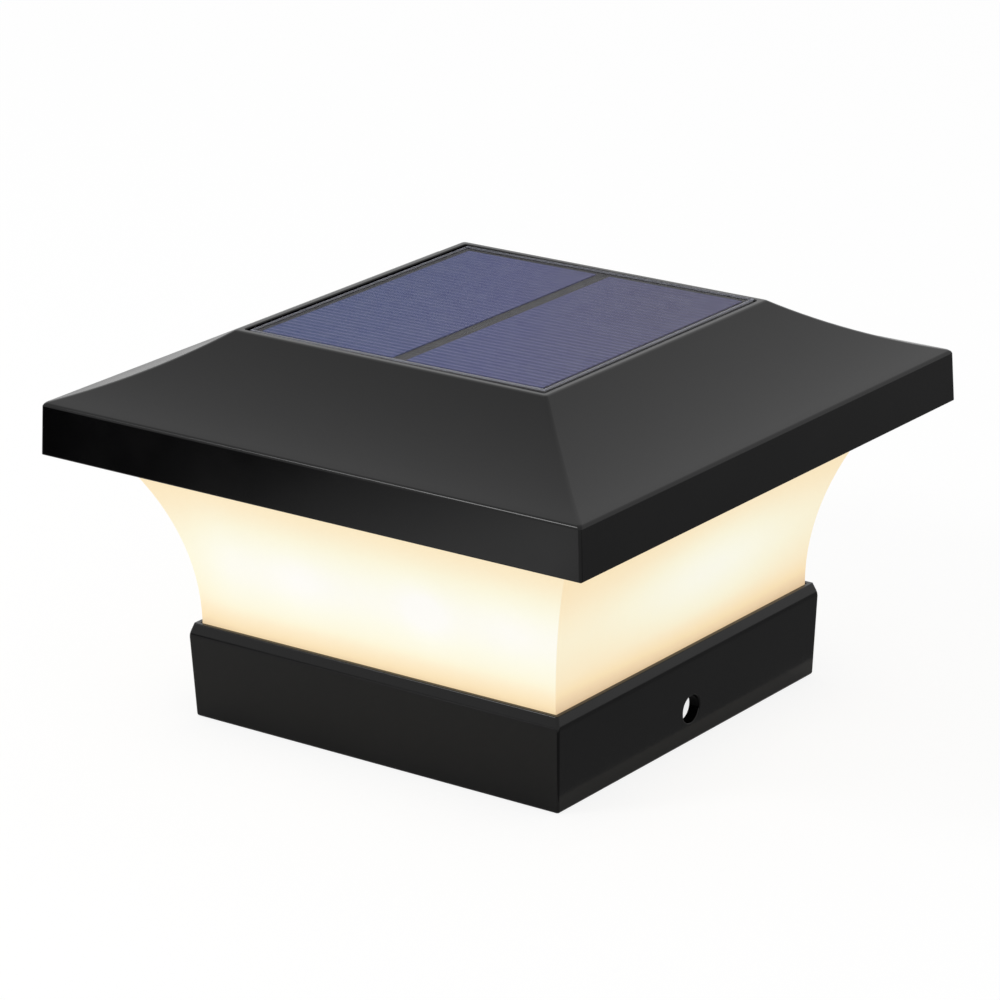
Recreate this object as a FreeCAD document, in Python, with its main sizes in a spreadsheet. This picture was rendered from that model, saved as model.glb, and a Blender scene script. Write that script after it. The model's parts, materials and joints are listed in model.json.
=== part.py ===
"""A solar light that caps a square deck post.

Frame: +Z up, millimetres, origin at the middle of the collar's lower edge. -Y is the front.
From the top down: a solar panel in the roof's recess, the roof, a glowing flared diffuser, and
a collar that slips over the post. A deck plate under the collar's ledge meets the post's top and
carries the battery bay, the mode button and the white core with the light boards.
"""
import FreeCAD, Part
import math
import os
import re
import Sketcher
from FreeCAD import Rotation, Vector

doc = FreeCAD.newDocument("post_cap_light")
sizes = doc.addObject("Spreadsheet::Sheet", "Sizes")

DRIVING_SIZES = [
    # roof
    ("roof_width", 160, "across the roof's lower edge"),
    ("roof_top_width", 92.5, "across the flat top of the roof"),
    ("roof_wall", 2.2, "wall of the roof moulding"),
    ("eaves_height", 70.3, "the roof's lower edge above the collar's"),
    ("skirt_height", 13, "the roof's upright skirt"),
    ("skirt_lean", 0.5, "how far the skirt leans in at its top"),
    ("slope_height", 15.7, "how far the slopes climb from the skirt to the roof's top"),
    ("slope_radius", 118, "hollow curve of the four slopes"),
    ("roof_round", 0.7, "radius of the skirt's corners, its upper edge and the hips"),
    ("rim_round", 0.5, "radius of the roof's top rim and of its lower edge"),
    ("seat_ring_inset", 1.5, "the ring that presses on the diffuser's flange, in from its edge"),
    ("seat_ring_wall", 2.2, "wall of that ring"),
    ("gusset_wall", 1.6, "ribs between that ring and the skirt"),
    ("gusset_spread", 38, "the outer ribs' distance from the middle of a side"),
    ("boss_width", 7.2, "square screw bosses under the roof"),
    ("boss_length", 12, "how far those bosses hang down"),
    # solar panel
    ("rim_width", 1.65, "flat rim round the roof's recess for the panel"),
    ("recess_depth", 2.7, "depth of that recess"),
    ("panel_gap", 0.9, "gap round the panel"),
    ("tape_width", 5, "adhesive ring under the panel"),
    ("tape_thick", 0.6, "its thickness"),
    ("board_thick", 1.6, "panel board and circuit boards"),
    ("cell_border", 2.1, "dark border round the cells"),
    ("cell_gap", 4.2, "dark strip between the two halves of the cells"),
    ("cell_thick", 0.25, "solar cells"),
    ("cover_thick", 0.45, "clear layer over the cells"),
    ("lead_hole_width", 8, "square holes for the panel's leads"),
    # diffuser
    ("diffuser_width", 106.9, "across the diffuser's foot"),
    ("diffuser_wall", 2, "wall of the diffuser"),
    ("flare_inset", 8.8, "the top of the diffuser's hollow sides, in from the roof's edge"),
    ("flange_lift", 3.9, "the flange's underside above the eaves"),
    ("flange_clearance", 2.3, "gap between the diffuser's top flange and the roof's wall"),
    ("flange_thick", 2, "thickness of that flange"),
    ("gasket_thick", 1, "the two square gaskets"),
    # collar
    ("collar_foot_width", 110.1, "across the collar's lower edge"),
    ("collar_width", 111.9, "across the collar under its chamfer"),
    ("collar_rim_width", 110, "across the collar's top rim"),
    ("collar_height", 24.5, "height of the collar"),
    ("collar_chamfer", 2.8, "height of the chamfer at the top"),
    ("collar_corner", 0.7, "radius of the collar's upright corners"),
    ("socket_width", 104.6, "post socket inside the collar"),
    ("ledge_height", 18, "the ledge's underside above the collar's lower edge"),
    ("ledge_thick", 2, "thickness of the ledge"),
    ("ledge_opening", 94, "square opening inside the ledge"),
    ("collar_clearance", 0.3, "gap between the collar and what stands in it"),
    ("post_hole_radius", 3.55, "the two holes for screws into the post"),
    ("post_hole_height", 8.6, "their height"),
    ("rib_wall", 1.6, "ribs that centre the post"),
    ("rib_proud", 1, "how far those ribs stand out"),
    ("rib_spread", 32, "their distance from the middle of a side"),
    # deck plate and battery bay
    ("deck_thick", 3, "deck plate"),
    ("bay_offset", 12, "the battery bay's distance from the middle"),
    ("battery_radius", 7.1, "battery cell"),
    ("battery_length", 49, "the cell's can"),
    ("battery_cap_radius", 2.75, "raised end of the cell"),
    ("battery_cap_length", 1, "its length"),
    ("battery_clearance", 0.3, "gap round the battery"),
    ("contact_room", 2.7, "room for a contact at each end of the bay"),
    ("contact_thick", 0.3, "spring sheet of the contacts"),
    ("contact_width", 8, "width of the contacts"),
    ("bay_wall", 1.6, "walls of the bay"),
    ("door_thick", 2, "battery door"),
    ("door_side_margin", 5.6, "how far the door reaches past the bay's sides"),
    ("door_screw_margin", 5.3, "the door screws' distance from the bay's ends"),
    ("door_end_margin", 3, "how far the door reaches past its screws"),
    ("door_clearance", 0.3, "gap round the door"),
    ("door_corner", 2, "radius of the door's corners"),
    ("door_gasket_wall", 2, "width of the door's gasket ring"),
    ("door_gasket_thick", 0.8, "its thickness"),
    ("seat_wall", 2, "plate left over the door's recess"),
    # light core
    ("core_width", 72, "light core, along X"),
    ("core_clearance", 0.3, "gap between its end walls and the door's seat"),
    ("core_height", 38, "its height above the deck plate"),
    ("core_wall", 1.8, "its walls"),
    ("core_screw_inset", 4.5, "the core's screws, in from its outer corners"),
    ("light_board_length", 68, "light boards"),
    ("light_board_height", 12, "their height"),
    ("light_board_thick", 1, "their thickness"),
    ("light_drop", 1, "the light emitters' middle below the control board's top face"),
    ("light_pitch", 30, "distance between the light emitters"),
    ("emitter_length", 3.5, "one light emitter"),
    ("emitter_height", 2.8, "its height"),
    ("emitter_thick", 0.8, "its thickness"),
    # control board
    ("control_width", 40, "control board, along X"),
    ("control_length", 56, "control board, along Y"),
    ("standoff_height", 3, "posts under the control board"),
    ("standoff_width", 4.4, "width of those posts"),
    ("standoff_spread_x", 5.5, "their distance from the bay's middle, along X"),
    ("standoff_spread_y", 20, "their distance from the middle, along Y"),
    ("connector_width", 8, "connectors on the control board, along X"),
    ("connector_depth", 5, "their depth along Y"),
    ("connector_height", 4, "their height"),
    ("chip_length", 5, "controller chip"),
    ("chip_height", 1.6, "its height"),
    ("coil_width", 7, "square coil of the charging circuit"),
    ("coil_height", 4.5, "its height"),
    ("capacitor_radius", 2.5, "capacitor"),
    ("capacitor_height", 6, "its height"),
    ("component_spread_x", 9, "these components' distance from the bay's middle, along X"),
    ("component_spread_y", 8, "their distance from the middle, along Y"),
    # button and its switch
    ("button_offset", 20, "the button's distance from the middle"),
    ("button_radius", 6, "push button"),
    ("button_recess", 0.8, "how far the button's face sits inside the deck plate"),
    ("button_flange_radius", 7.4, "flange that keeps the button in"),
    ("button_flange_thick", 1.2, "its thickness"),
    ("button_travel", 1, "how far the button is pressed"),
    ("running_gap", 0.1, "radial gap where one piece slides in another"),
    ("guide_height", 2.5, "square guide round the button's hole"),
    ("guide_width", 17.2, "across that guide"),
    ("seal_thick", 0.6, "silicone seal on that guide"),
    ("switch_width", 6, "tactile switch"),
    ("switch_height", 3.5, "its height"),
    ("plunger_radius", 1.7, "the switch's plunger"),
    ("switch_board_width", 12, "small board over the switch, along X"),
    ("switch_board_length", 32, "its length along Y"),
    ("switch_post_spread", 13, "posts under that board"),
    ("switch_post_width", 4, "width of those posts"),
    ("stake_width", 2, "square pins that hold that board on its posts"),
    ("stake_height", 0.8, "how far the pins stand out of the board"),
    # screws and wires
    ("tie_spread", 42, "the four long screws' distance from the middle, each way"),
    ("tie_radius", 1.5, "long screws"),
    ("tie_head_radius", 2.9, "their heads"),
    ("head_height", 1.5, "heads of the long screws and the core's screws"),
    ("head_gap", 0.1, "how far a screw's head sits inside its counterbore"),
    ("small_screw_radius", 1.1, "small screws"),
    ("small_head_radius", 2.1, "their heads"),
    ("small_head_height", 1.2, "height of the small heads"),
    ("small_screw_length", 6.5, "their shanks"),
    ("thread_gap", 0.05, "radial gap between a screw and its hole"),
    ("wire_radius", 0.65, "insulated wires"),
    ("wire_spacing", 4, "distance between two wires of a pair"),
]

for row, (alias, value, meaning) in enumerate(DRIVING_SIZES, start=1):
    sizes.set(f"A{row}", meaning)
    sizes.set(f"B{row}", str(value))
    sizes.setAlias(f"B{row}", alias)
doc.recompute()

ALIASES = {alias for alias, value, meaning in DRIVING_SIZES}
subparts = []
CORNERS = [(1, 1), (-1, 1), (-1, -1), (1, -1)]
DIAGONAL = [(1, 1), (-1, -1)]
TOUCHING = 1e-3


# ---- formulas on the size sheet ----

def formula(text):
    """An expression that reads the sheet: "roof_width / 2" becomes "Sizes.roof_width / 2"."""
    return re.sub("[a-z][a-z_]*", lambda word: ("Sizes." if word[0] in ALIASES else "") + word[0],
                  str(text))


def number(text):
    """The value of a formula now, for first positions that the constraints then hold."""
    return float(sizes.evalExpression(formula(text)))


def bind(thing, **formulas):
    for name, text in formulas.items():
        thing.setExpression(name, formula(text))
    return thing


def place(thing, x="0", y="0", z="0"):
    for axis, text in zip("xyz", (x, y, z)):
        thing.setExpression(f"Placement.Base.{axis}", formula(text))
    return thing


# ---- solids with bound sizes ----

def block(name, width, depth, height, x="0", y="0", z="0"):
    """A box centred on x and y that stands on z."""
    box = bind(doc.addObject("Part::Box", name), Length=width, Width=depth, Height=height)
    return place(box, f"{x} - ({width}) / 2", f"{y} - ({depth}) / 2", z)


def rod(name, radius, height, x="0", y="0", z="0"):
    """An upright cylinder that stands on z."""
    cylinder = bind(doc.addObject("Part::Cylinder", name), Radius=radius, Height=height)
    return place(cylinder, x, y, z)


def lying_rod(name, radius, length, x, y, z, along):
    """A cylinder that lies along X or Y, from its lower end."""
    cylinder = rod(name, radius, length, x, y, z)
    turns = {"X": Rotation(Vector(0, 1, 0), 90), "Y": Rotation(Vector(1, 0, 0), -90)}
    cylinder.Placement.Rotation = turns[along]
    return place(cylinder, x, y, z)


def fuse(name, *pieces):
    joined = doc.addObject("Part::MultiFuse", name)
    joined.Shapes = list(pieces)
    joined.Refine = True
    return joined


def cut(name, base, *tools):
    left = doc.addObject("Part::Cut", name)
    left.Base = base
    left.Tool = tools[0] if len(tools) == 1 else fuse(name + "_tools", *tools)
    left.Refine = True
    return left


def common(name, *pieces):
    shared = doc.addObject("Part::MultiCommon", name)
    shared.Shapes = list(pieces)
    shared.Refine = True
    return shared


def group(name, *pieces):
    """Separate solids that share one sub-part, such as a set of screws."""
    together = doc.addObject("Part::Compound", name)
    together.Links = list(pieces)
    return together


def keep(thing, label):
    """Names a finished sub-part and puts it on the list that is written out."""
    thing.Label = label
    subparts.append(thing)
    return thing


def edges_where(thing, test):
    """Numbers of the edges that pass a test of the edge and its middle point."""
    return [i for i, edge in enumerate(thing.Shape.Edges, start=1)
            if test(edge, edge.valueAt((edge.FirstParameter + edge.LastParameter) / 2))]


def fillet(name, base, *choices):
    """Rounds edges. Each choice is a radius and a test of an edge and its middle point."""
    doc.recompute()
    rounded = doc.addObject("Part::Fillet", name)
    rounded.Base = base
    rounded.Edges = [(i, number(radius), number(radius))
                     for radius, test in choices for i in edges_where(base, test)]
    return rounded


# ---- outlines ----

def outline(body, name, role, corners, arcs=None, lift="0"):
    """A closed outline on one of the body's own planes, anticlockwise, from pairs of formulas.

    arcs gives a radius for the edge that starts at that corner. A positive radius is a hollow
    in the side, and a negative one bulges out of it.
    """
    arcs = arcs or {}
    sketch = body.newObject("Sketcher::SketchObject", name)
    plane = next(item for item in body.Origin.OriginFeatures if item.Role == role)
    sketch.AttachmentSupport = [(plane, "")]
    sketch.MapMode = "FlatFace"
    sketch.setExpression("AttachmentOffset.Base.z", formula(lift))
    points = [Vector(number(across), number(up), 0) for across, up in corners]
    ends = []
    for i, start in enumerate(points):
        end = points[(i + 1) % len(points)]
        if i in arcs:
            radius = number(arcs[i])
            chord = end - start
            inward = Vector(-chord.y, chord.x, 0).normalize() * math.copysign(1, radius)
            sagitta = abs(radius) - math.sqrt(radius ** 2 - (chord.Length / 2) ** 2)
            edge = Part.Arc(start, (start + end) / 2 + inward * sagitta, end)
        else:
            edge = Part.LineSegment(start, end)
        geometry = sketch.addGeometry(edge, False)
        first = 1 if sketch.getPoint(geometry, 1).distanceToPoint(start) < 1e-6 else 2
        ends.append((geometry, first, 3 - first))
    for i, (geometry, first, last) in enumerate(ends):
        following, next_first, next_last = ends[(i + 1) % len(ends)]
        sketch.addConstraint(Sketcher.Constraint("Coincident", geometry, last, following, next_first))
        for kind, text in zip(("DistanceX", "DistanceY"), corners[i]):
            held = sketch.addConstraint(
                Sketcher.Constraint(kind, -1, 1, geometry, first, number(text)))
            sketch.setExpression(f"Constraints[{held}]", formula(text))
        if i in arcs:
            size = sketch.addConstraint(Sketcher.Constraint("Radius", geometry, abs(number(arcs[i]))))
            sketch.setExpression(f"Constraints[{size}]", formula(f"abs({arcs[i]})"))
    return sketch


def pad(body, name, sketch, length, both_ways=False):
    solid = body.newObject("PartDesign::Pad", name)
    solid.Profile = sketch
    solid.SideType = "Symmetric" if both_ways else "One side"
    return bind(solid, Length=length)


def rounded_rectangle(width, depth, corner):
    """Corners and arcs of a rounded rectangle about the plane's middle."""
    x, y = f"(({width}) / 2)", f"(({depth}) / 2)"
    corners = [(f"{x} - {corner}", f"-{y}"), (x, f"-{y} + {corner}"),
               (x, f"{y} - {corner}"), (f"{x} - {corner}", y),
               (f"-{x} + {corner}", y), (f"-{x}", f"{y} - {corner}"),
               (f"-{x}", f"-{y} + {corner}"), (f"-{x} + {corner}", f"-{y}")]
    return corners, {i: f"-({corner})" for i in (0, 2, 4, 6)}


def rounded_plate(name, width, depth, corner, thick, x="0", y="0", z="0"):
    """A plate with rounded upright corners, made on its own body."""
    body = doc.addObject("PartDesign::Body", name)
    corners, arcs = rounded_rectangle(width, depth, corner)
    sketch = outline(body, name + "_outline", "XY_Plane", corners, arcs)
    pad(body, name + "_pad", sketch, thick)
    return place(body, x, y, z)


def square_form(name, right_side, arcs=None):
    """A square form with mitred corners: what two crossed bars of one section have in common.

    right_side runs up the section's right edge, and the left edge mirrors it.
    """
    arcs = arcs or {}
    count = len(right_side)
    section = right_side + [(f"-({across})", up) for across, up in reversed(right_side)]
    both = dict(arcs)
    both.update({2 * count - 2 - i: radius for i, radius in arcs.items()})
    bars = []
    for role, way in (("XZ_Plane", "along_y"), ("YZ_Plane", "along_x")):
        body = doc.addObject("PartDesign::Body", f"{name}_{way}")
        sketch = outline(body, f"{name}_{way}_section", role, section, both)
        pad(body, f"{name}_{way}_bar", sketch, "2 * roof_width", both_ways=True)
        bars.append(body)
    return common(name, *bars)


def square_ring(name, outer, wall, height, z):
    """A square ring of even wall."""
    return cut(name, block(name + "_outer", outer, outer, height, z=z),
               block(name + "_inner", f"({outer}) - 2 * {wall}", f"({outer}) - 2 * {wall}", height, z=z))


# ---- heights that several sub-parts share ----

SKIRT_TOP = "(eaves_height + skirt_height)"
ROOF_TOP = "(eaves_height + skirt_height + slope_height)"
RECESS_FLOOR = f"({ROOF_TOP} - recess_depth)"
ROOF_CEILING = f"({RECESS_FLOOR} - roof_wall)"
FLANGE_UNDER = "(eaves_height + flange_lift)"
FLANGE_TOP = "(eaves_height + flange_lift + flange_thick)"
SEAT_RING_UNDER = f"({FLANGE_TOP} + gasket_thick)"
LEDGE_TOP = "(ledge_height + ledge_thick)"
DIFFUSER_FOOT = f"({LEDGE_TOP} + gasket_thick)"
DECK_UNDER = "(ledge_height - deck_thick)"
DECK_TOP = "ledge_height"
DOOR_TOP = f"({DECK_UNDER} + door_thick)"
DOOR_SEAT = f"({DOOR_TOP} + door_gasket_thick)"
SEAT_TOP = f"({DOOR_SEAT} + seat_wall)"
BATTERY_AXIS = f"({DOOR_TOP} + battery_clearance + battery_radius)"
BAY_CEILING = f"({BATTERY_AXIS} + battery_radius + battery_clearance)"
BAY_ROOF = f"({BAY_CEILING} + bay_wall)"
CONTROL_UNDER = f"({BAY_ROOF} + standoff_height)"
CONTROL_TOP = f"({CONTROL_UNDER} + board_thick)"
CORE_TOP = f"({DECK_TOP} + core_height)"
GUIDE_TOP = f"({DECK_TOP} + guide_height)"
FLANGE_SEAT = f"({GUIDE_TOP} + seal_thick)"
BUTTON_TOP = f"({FLANGE_SEAT} + button_flange_thick)"
SWITCH_UNDER = f"({BUTTON_TOP} + 2 * button_travel)"
SWITCH_TOP = f"({SWITCH_UNDER} + switch_height)"
SWITCH_BOARD_TOP = f"({SWITCH_TOP} + light_board_thick)"
BAY_WIDTH = "(2 * (battery_radius + battery_clearance))"
BAY_LENGTH = "(battery_length + battery_cap_length + 2 * contact_room)"
DOOR_WIDTH = f"({BAY_WIDTH} + 2 * door_side_margin)"
DOOR_SCREW_SPREAD = f"({BAY_LENGTH} / 2 + door_screw_margin)"
DOOR_LENGTH = f"(2 * ({DOOR_SCREW_SPREAD} + door_end_margin))"
CORE_DEPTH = f"({DOOR_LENGTH} + 2 * (door_clearance + bay_wall + core_clearance + core_wall))"
RECESS_WIDTH = "(roof_top_width - 2 * rim_width)"
PANEL_WIDTH = f"({RECESS_WIDTH} - 2 * panel_gap)"
BATTERY_START = "(-(battery_length + battery_cap_length) / 2)"
PILOT_RADIUS = "(small_screw_radius + thread_gap)"
FLANGE_WIDTH = "(roof_width - 2 * roof_wall - 2 * flange_clearance)"
SEAT_RING_WIDTH = f"({FLANGE_WIDTH} - 2 * seat_ring_inset)"
LIGHT_HEIGHT = f"({CONTROL_TOP} - light_drop)"
LIGHT_WIRE_HEIGHT = f"({CONTROL_TOP} + connector_height / 2)"
CONNECTOR_TOP = f"({CONTROL_TOP} + connector_height)"
CONNECTOR_Y = "((control_length - connector_depth) / 2)"


# ---- roof and solar panel ----

def make_roof():
    """Square roof: four hollow slopes over an upright skirt, open below, with the panel's recess.

    The shell has an even wall. The tray under the panel, the ring that presses on the diffuser,
    the ribs and the screw bosses grow from its inner side and end halfway into that wall.
    """
    outer = square_form("RoofOuter", [
        ("roof_width / 2", "eaves_height"),
        ("roof_width / 2 - skirt_lean", SKIRT_TOP),
        ("roof_top_width / 2", ROOF_TOP)], arcs={1: "slope_radius"})
    shell = cut("RoofShell", outer, roof_hollow())
    tray_width = f"({RECESS_WIDTH} + 2 * roof_wall)"
    tray = block("RecessTray", tray_width, tray_width, "recess_depth", z=ROOF_CEILING)
    ring = square_ring("SeatRing", SEAT_RING_WIDTH, "seat_ring_wall",
                       f"{SKIRT_TOP} - eaves_height", SEAT_RING_UNDER)
    ribs = []
    reach = f"((roof_width - {SEAT_RING_WIDTH}) / 2)"
    middle = f"((roof_width + {SEAT_RING_WIDTH}) / 4)"
    for side, spot in ((s, p) for s in (1, -1) for p in (-1, 0, 1)):
        along = f"{spot} * gusset_spread"
        ribs.append(block(f"RibX{len(ribs)}", reach, "gusset_wall", "skirt_height",
                          f"{side} * {middle}", along, SEAT_RING_UNDER))
        ribs.append(block(f"RibY{len(ribs)}", "gusset_wall", reach, "skirt_height",
                          along, f"{side} * {middle}", SEAT_RING_UNDER))
    bosses = [block(f"RoofBoss{i}", "boss_width", "boss_width", "boss_length + roof_wall / 2",
                    f"{x} * tie_spread", f"{y} * tie_spread", f"{ROOF_CEILING} - boss_length")
              for i, (x, y) in enumerate(CORNERS)]
    within = square_form("RoofWithin", [
        ("(roof_width - roof_wall) / 2", "eaves_height"),
        ("(roof_width - roof_wall) / 2 - skirt_lean", f"{SKIRT_TOP} - roof_wall / 2"),
        ("(roof_top_width - roof_wall) / 2", f"{ROOF_TOP} - roof_wall / 2")], arcs={1: "slope_radius"})
    seat = common("RoofSeat", within, fuse("RoofSeatRaw", ring, *ribs))
    recess = block("Recess", RECESS_WIDTH, RECESS_WIDTH, "2 * recess_depth", z=RECESS_FLOOR)
    lead_hole = block("LeadHole", "lead_hole_width", "lead_hole_width", "3 * roof_wall",
                      "bay_offset", z=f"{ROOF_CEILING} - roof_wall")
    pilots = [rod(f"RoofPilot{i}", "tie_radius + thread_gap", "2 * boss_length",
                  f"{x} * tie_spread", f"{y} * tie_spread", f"{ROOF_CEILING} - 2 * boss_length")
              for i, (x, y) in enumerate(CORNERS)]
    blank = fuse("RoofBlank", shell, tray, seat, *bosses)
    moulding = cut("RoofMoulding", blank, recess, lead_hole, *pilots)
    return keep(round_roof(moulding), "roof_shell")


def roof_hollow():
    """What the shell leaves free: its slopes turn about the outer slopes' centres, one wall deeper."""
    reach, top = "(roof_width / 2 - skirt_lean)", "(roof_top_width / 2)"
    across = f"({reach} - {top})"
    lift = f"sqrt(slope_radius ^ 2 / ({across} ^ 2 + slope_height ^ 2) - 1 / 4)"
    centre_x = f"(({reach} + {top}) / 2 + slope_height * {lift})"
    centre_z = f"({SKIRT_TOP} + slope_height / 2 + {across} * {lift})"
    radius, ceiling = "(slope_radius + roof_wall)", f"({ROOF_TOP} - roof_wall)"
    inner_reach = f"({reach} - roof_wall)"
    eaves_corner = f"({centre_z} - sqrt({radius} ^ 2 - ({centre_x} - {inner_reach}) ^ 2))"
    ceiling_reach = f"({centre_x} - sqrt({radius} ^ 2 - ({centre_z} - {ceiling}) ^ 2))"
    return square_form("RoofHollow", [
        ("roof_width / 2 - roof_wall", "eaves_height"), (inner_reach, eaves_corner),
        (ceiling_reach, ceiling)], arcs={1: radius})


def round_roof(moulding):
    """Rounds the outer edges of the roof: skirt corners, skirt top and hips, rim and lower edge."""
    top, skirt_top, eaves = number(ROOF_TOP), number(SKIRT_TOP), number("eaves_height")
    outer, inner = number("roof_width / 2 - skirt_lean"), number("roof_top_width / 2")
    wall = number("roof_wall")

    def reach(point):
        return max(abs(point.x), abs(point.y))

    def level(edge, height):
        return all(abs(vertex.Z - height) < TOUCHING for vertex in edge.Vertexes)

    def skirt_corner(edge, middle):
        return min(abs(middle.x), abs(middle.y)) > outer - wall / 2 and eaves < middle.z < skirt_top

    def skirt_edge(edge, middle):
        return level(edge, skirt_top) and reach(middle) > outer - wall / 2

    def hip(edge, middle):
        ends = sorted(vertex.Z for vertex in edge.Vertexes)
        return abs(ends[0] - skirt_top) < TOUCHING and abs(ends[-1] - top) < TOUCHING

    def rim(edge, middle):
        return level(edge, top) and abs(reach(middle) - inner) < TOUCHING

    def lower_edge(edge, middle):
        return level(edge, eaves) and reach(middle) > outer

    return fillet("RoofRounded", moulding, ("roof_round", skirt_corner), ("roof_round", skirt_edge),
                  ("roof_round", hip), ("rim_round", rim), ("rim_round", lower_edge))


def make_panel():
    """The panel: adhesive ring, dark board, two halves of cells and the clear layer over them."""
    tape = square_ring("PanelTape", PANEL_WIDTH, "tape_width", "tape_thick", RECESS_FLOOR)
    keep(tape, "panel_tape")
    board_under = f"({RECESS_FLOOR} + tape_thick)"
    keep(block("PanelBoard", PANEL_WIDTH, PANEL_WIDTH, "board_thick", z=board_under), "panel_board")
    cell_under = f"({board_under} + board_thick)"
    cell_length = f"({PANEL_WIDTH} - 2 * cell_border)"
    cell_width = f"(({cell_length} - cell_gap) / 2)"
    halves = [block(f"CellHalf{i}", cell_width, cell_length, "cell_thick",
                    f"{side} * ({cell_width} + cell_gap) / 2", z=cell_under)
              for i, side in enumerate((-1, 1))]
    keep(group("Cells", *halves), "solar_cells")
    keep(block("PanelCover", PANEL_WIDTH, PANEL_WIDTH, "cover_thick",
               z=f"{cell_under} + cell_thick"), "panel_cover")


def make_roof_gasket():
    gasket = square_ring("RoofGasket", SEAT_RING_WIDTH, "seat_ring_wall", "gasket_thick", FLANGE_TOP)
    return keep(gasket, "roof_gasket")


# ---- diffuser ----

def make_diffuser():
    """Square milky shell: an upright foot inside the collar, then sides that flare outward.

    The hollow starts upright at the collar's rim, and its radius follows from where it ends.
    """
    foot = "(diffuser_width / 2)"
    rise = f"({FLANGE_UNDER} - collar_height)"
    full_rise = f"({FLANGE_TOP} - collar_height)"
    outer_top = "(roof_width / 2 - flare_inset)"
    flare = f"({outer_top} - {foot})"
    radius = f"(({rise} ^ 2 + {flare} ^ 2) / (2 * {flare}))"
    inner_radius = f"({radius} + diffuser_wall)"
    inner_top = f"({foot} + {radius} - sqrt({inner_radius} ^ 2 - {full_rise} ^ 2))"
    outside = square_form("DiffuserOutside", [
        (foot, DIFFUSER_FOOT), (foot, "collar_height"), (outer_top, FLANGE_UNDER),
        (f"{FLANGE_WIDTH} / 2", FLANGE_UNDER), (f"{FLANGE_WIDTH} / 2", FLANGE_TOP)],
        arcs={1: radius})
    inside = square_form("DiffuserInside", [
        (f"{foot} - diffuser_wall", DIFFUSER_FOOT), (f"{foot} - diffuser_wall", "collar_height"),
        (inner_top, FLANGE_TOP)], arcs={1: inner_radius})
    return keep(cut("Diffuser", outside, inside), "diffuser")


# ---- collar ----

def make_collar():
    """Square collar: drafted sides, a chamfered rim, a ledge inside and ribs that centre the post."""
    body = doc.addObject("PartDesign::Body", "CollarOutside")
    rings = [("foot", "collar_foot_width", "0"),
             ("shoulder", "collar_width", "collar_height - collar_chamfer"),
             ("rim", "collar_rim_width", "collar_height")]
    sections = []
    for name, width, lift in rings:
        corners, arcs = rounded_rectangle(width, width, "collar_corner")
        sections.append(outline(body, f"Collar_{name}", "XY_Plane", corners, arcs, lift))
    loft = body.newObject("PartDesign::AdditiveLoft", "CollarLoft")
    loft.Profile = sections[0]
    loft.Sections = sections[1:]
    loft.Ruled = True
    socket = block("Socket", "socket_width", "socket_width", "ledge_height")
    through = block("LedgeOpening", "ledge_opening", "ledge_opening", "collar_height")
    above = block("DiffuserPocket", "diffuser_width + 2 * collar_clearance",
                  "diffuser_width + 2 * collar_clearance", "collar_height", z=LEDGE_TOP)
    post_holes = lying_rod("PostHoles", "post_hole_radius", "2 * collar_width",
                           "-collar_width", "0", "post_hole_height", "X")
    ring = cut("CollarRing", body, socket, through, above, post_holes)
    rib_height = f"({DECK_UNDER} - collar_clearance)"
    rib_middle = "((socket_width - rib_proud) / 2)"
    ribs = []
    for side, spot in ((s, p) for s in (1, -1) for p in (1, -1)):
        along = f"{spot} * rib_spread"
        ribs.append(block(f"PostRibX{len(ribs)}", "rib_proud", "rib_wall", rib_height,
                          f"{side} * {rib_middle}", along))
        ribs.append(block(f"PostRibY{len(ribs)}", "rib_wall", "rib_proud", rib_height,
                          along, f"{side} * {rib_middle}"))
    return keep(fuse("Collar", ring, *ribs), "base_collar")


def make_collar_gasket():
    gasket = square_ring("CollarGasket", "diffuser_width", "diffuser_wall", "gasket_thick", LEDGE_TOP)
    return keep(gasket, "collar_gasket")


# ---- deck plate, battery bay and door ----

def switch_post_rows():
    return ["-switch_post_spread", "switch_post_spread"]


def door_screw_spots():
    return [("bay_offset", f"{side} * {DOOR_SCREW_SPREAD}") for side in (-1, 1)]


def core_screw_spots():
    return [(f"{x} * (core_width / 2 - core_screw_inset)", f"{y} * ({CORE_DEPTH} / 2 - core_screw_inset)")
            for x, y in DIAGONAL]


def control_screw_spots():
    return [(f"bay_offset + {x} * standoff_spread_x", f"{y} * standoff_spread_y")
            for x, y in DIAGONAL]


def tie_spots():
    return [(f"{x} * tie_spread", f"{y} * tie_spread") for x, y in CORNERS]


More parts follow.
